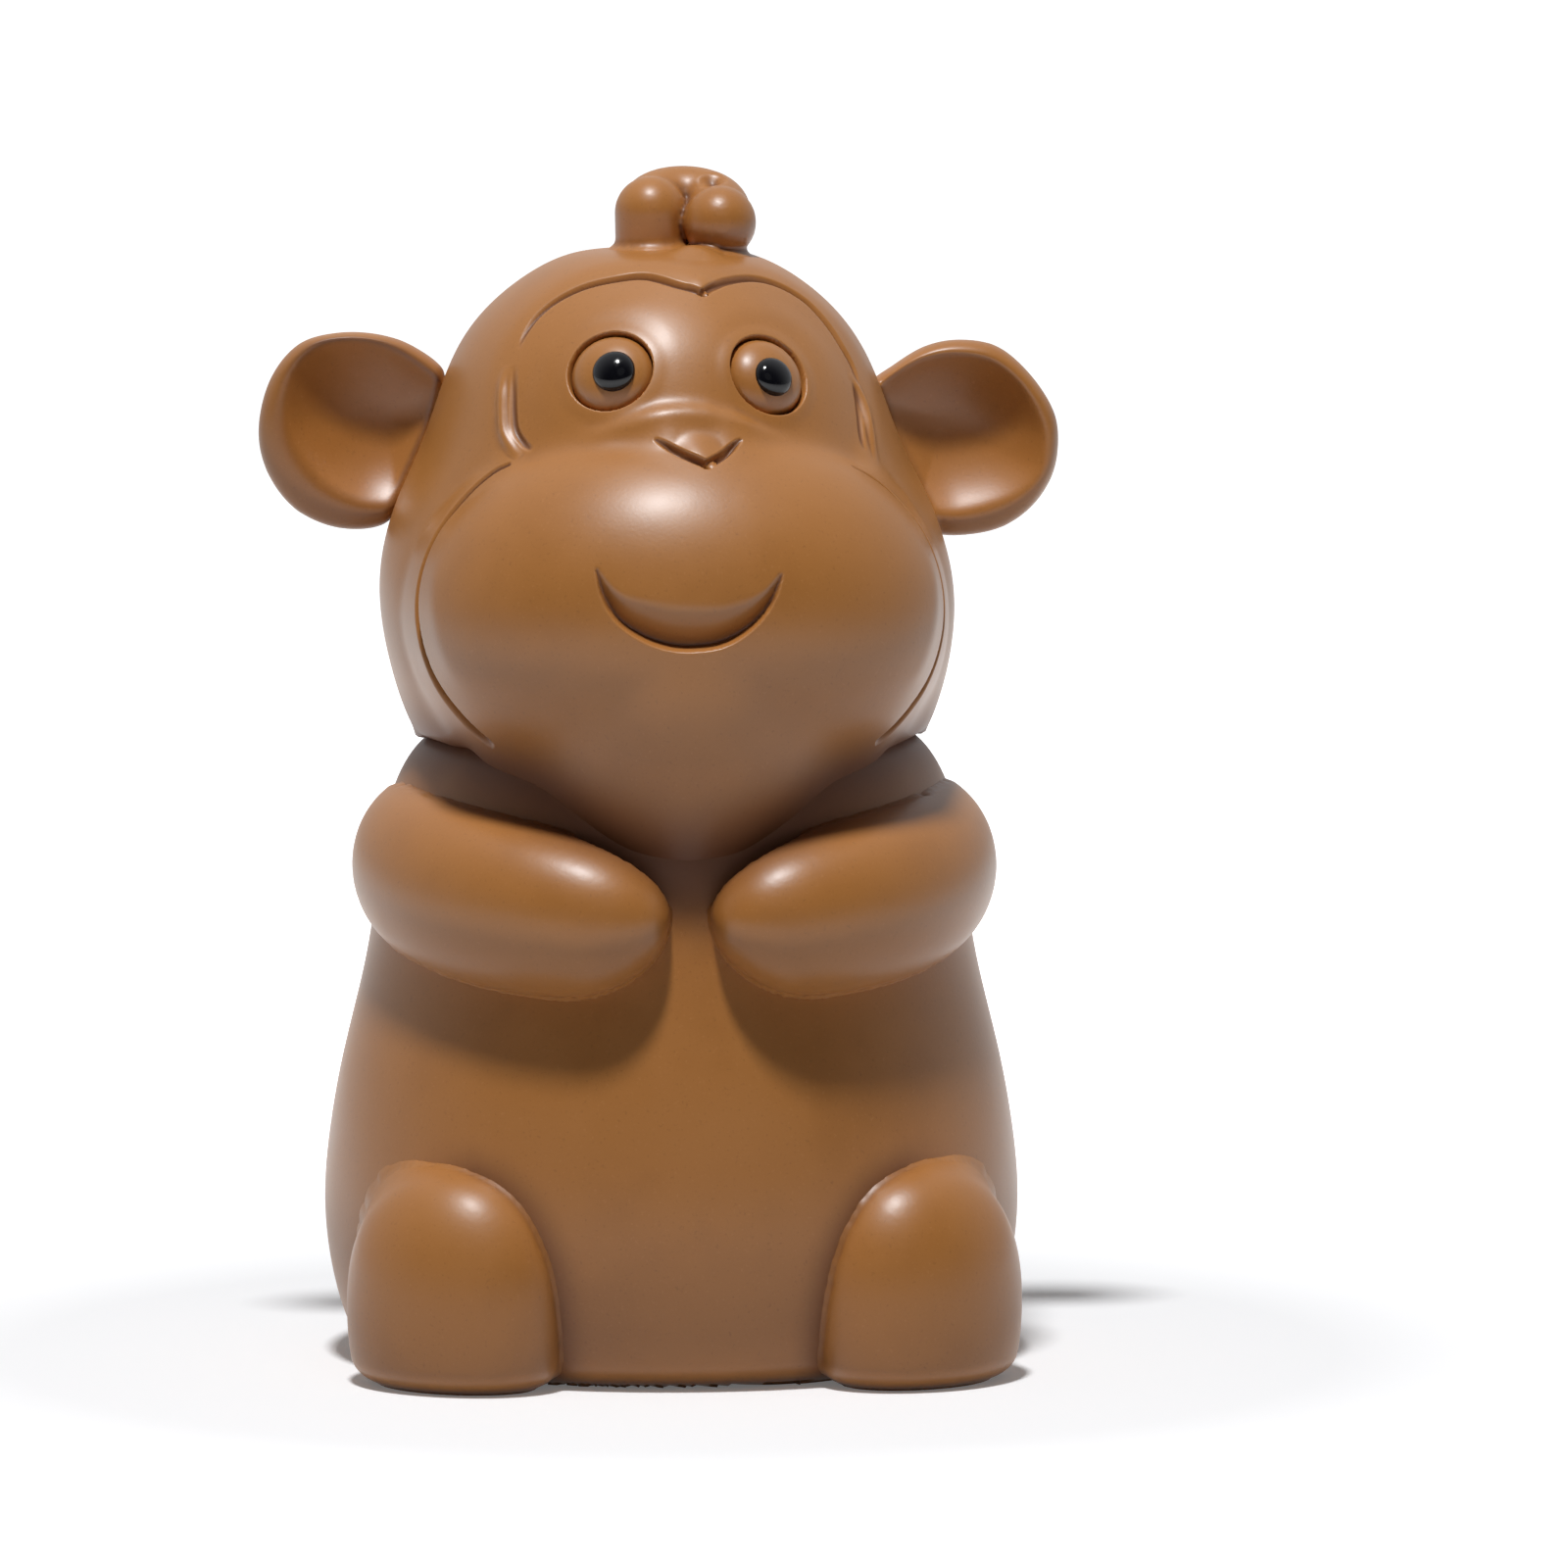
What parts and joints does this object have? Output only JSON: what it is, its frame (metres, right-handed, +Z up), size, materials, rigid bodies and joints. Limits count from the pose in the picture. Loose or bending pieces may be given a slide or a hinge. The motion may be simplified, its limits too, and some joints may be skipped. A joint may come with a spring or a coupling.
{
  "type": "monkey figurine",
  "caption": "Small sitting monkey figurine of burnished brown clay, with folded arms, dished ears and a curled lock of hair on a round head.",
  "frame": {"origin": "centre of the flat base, on the surface that the figurine stands on", "axes": "+Z up through the crown, the face looks along -Y, +X is at the viewer's right"},
  "size_m": [0.0548, 0.0464, 0.08],
  "materials": {
    "clay": "burnished unglazed clay, satin",
    "bead": "gloss black glaze"
  },
  "bodies": {
    "root": {"body_shell": "clay", "base_disc": "clay", "head_shell": "clay", "face_mask": "clay", "ear_left": "clay", "ear_right": "clay", "hair_curl": "clay", "eyeball_left": "clay", "eyeball_right": "clay", "pupil_left": "bead", "pupil_right": "bead", "arm_left": "clay", "arm_right": "clay", "leg_left": "clay", "leg_right": "clay", "tail": "clay"}
  },
  "joints": []
}
